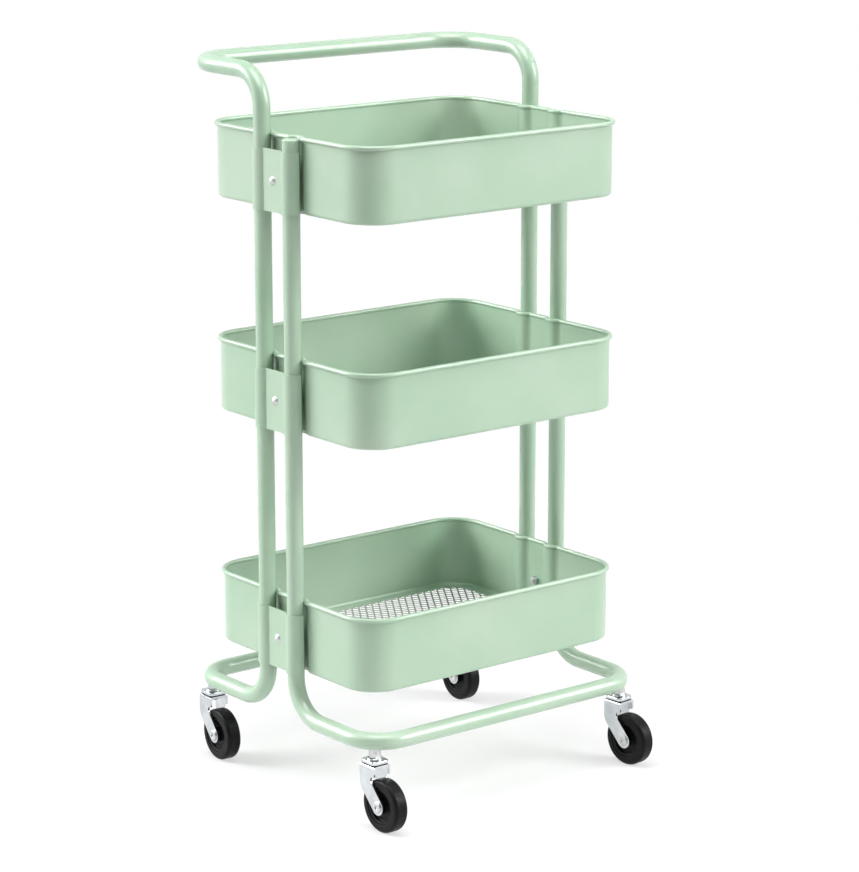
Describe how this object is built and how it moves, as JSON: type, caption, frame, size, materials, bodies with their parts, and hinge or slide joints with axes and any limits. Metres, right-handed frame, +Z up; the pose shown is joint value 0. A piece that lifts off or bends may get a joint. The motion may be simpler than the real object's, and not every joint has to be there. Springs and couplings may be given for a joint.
{
  "type": "rolling utility cart",
  "caption": "Three-tier rolling utility cart: rounded sheet-metal baskets with mesh floors clamped between bent tube uprights, a U push handle and swivel casters.",
  "frame": {"origin": "on the floor under the middle of the whole cart's box, wheels at rest and handle included", "axes": "+Z up; +Y towards the push handle at the back; +X along the baskets' long side, to the right seen from the front"},
  "size_m": [0.4192, 0.394, 0.854],
  "materials": {
    "mint_paint": "semi-gloss mint powder coat",
    "mesh_paint": "semi-gloss mint powder coat on expanded mesh",
    "zinc_steel": "bright zinc plating",
    "chrome": "polished chrome plating",
    "ring_plastic": "matt black moulding",
    "plug_plastic": "mint moulding",
    "tyre_rubber": "smooth black tread",
    "hub_plastic": "satin black moulding"
  },
  "bodies": {
    "frame": {"bottom_basket": "mint_paint", "bottom_mesh_floor": "mesh_paint", "bottom_left_clamp": "mint_paint", "bottom_right_clamp": "mint_paint", "middle_basket": "mint_paint", "middle_mesh_floor": "mesh_paint", "middle_left_clamp": "mint_paint", "middle_right_clamp": "mint_paint", "top_basket": "mint_paint", "top_mesh_floor": "mesh_paint", "top_left_clamp": "mint_paint", "top_right_clamp": "mint_paint", "clamp_bolts": "zinc_steel", "clamp_nuts": "zinc_steel", "front_left_upright": "mint_paint", "front_right_upright": "mint_paint", "rear_left_upright": "mint_paint", "rear_right_upright": "mint_paint", "front_base_loop": "mint_paint", "rear_base_loop": "mint_paint", "push_handle": "mint_paint", "tube_sleeves": "zinc_steel", "upright_plugs": "plug_plastic", "caster_bushes": "zinc_steel", "caster_lock_nuts": "zinc_steel", "front_left_caster_stem": "zinc_steel", "front_right_caster_stem": "zinc_steel", "rear_left_caster_stem": "zinc_steel", "rear_right_caster_stem": "zinc_steel"},
    "front_left_fork": {"front_left_caster_fork": "chrome", "front_left_caster_bearing_ring": "ring_plastic", "front_left_caster_cap": "chrome", "front_left_caster_axle": "zinc_steel"},
    "front_left_wheel": {"front_left_caster_tyre": "tyre_rubber", "front_left_caster_hub": "hub_plastic"},
    "front_right_fork": {"front_right_caster_fork": "chrome", "front_right_caster_bearing_ring": "ring_plastic", "front_right_caster_cap": "chrome", "front_right_caster_axle": "zinc_steel"},
    "front_right_wheel": {"front_right_caster_tyre": "tyre_rubber", "front_right_caster_hub": "hub_plastic"},
    "rear_left_fork": {"rear_left_caster_fork": "chrome", "rear_left_caster_bearing_ring": "ring_plastic", "rear_left_caster_cap": "chrome", "rear_left_caster_axle": "zinc_steel"},
    "rear_left_wheel": {"rear_left_caster_tyre": "tyre_rubber", "rear_left_caster_hub": "hub_plastic"},
    "rear_right_fork": {"rear_right_caster_fork": "chrome", "rear_right_caster_bearing_ring": "ring_plastic", "rear_right_caster_cap": "chrome", "rear_right_caster_axle": "zinc_steel"},
    "rear_right_wheel": {"rear_right_caster_tyre": "tyre_rubber", "rear_right_caster_hub": "hub_plastic"}
  },
  "joints": [
    {"name": "front_left_swivel", "type": "hinge", "parent": "frame", "child": "front_left_fork", "pos_m": [-0.1857, -0.14572, 0.077], "axis": [0, 0, 1], "continuous": true},
    {"name": "front_left_roll", "type": "hinge", "parent": "front_left_fork", "child": "front_left_wheel", "pos_m": [-0.18537, -0.16472, 0.031], "axis": [0.9998, 0.0175, 0], "continuous": true},
    {"name": "front_right_swivel", "type": "hinge", "parent": "frame", "child": "front_right_fork", "pos_m": [0.1857, -0.14572, 0.077], "axis": [0, 0, 1], "continuous": true},
    {"name": "front_right_roll", "type": "hinge", "parent": "front_right_fork", "child": "front_right_wheel", "pos_m": [0.18735, -0.16465, 0.031], "axis": [0.9962, 0.0872, 0], "continuous": true},
    {"name": "rear_left_swivel", "type": "hinge", "parent": "frame", "child": "rear_left_fork", "pos_m": [-0.1857, 0.17568, 0.077], "axis": [0, 0, 1], "continuous": true},
    {"name": "rear_left_roll", "type": "hinge", "parent": "rear_left_fork", "child": "rear_left_wheel", "pos_m": [-0.18702, 0.15673, 0.031], "axis": [0.9976, -0.0698, 0], "continuous": true},
    {"name": "rear_right_swivel", "type": "hinge", "parent": "frame", "child": "rear_right_fork", "pos_m": [0.1857, 0.17568, 0.077], "axis": [0, 0, 1], "continuous": true},
    {"name": "rear_right_roll", "type": "hinge", "parent": "rear_right_fork", "child": "rear_right_wheel", "pos_m": [0.18504, 0.15669, 0.031], "axis": [0.9994, -0.0349, 0], "continuous": true}
  ]
}
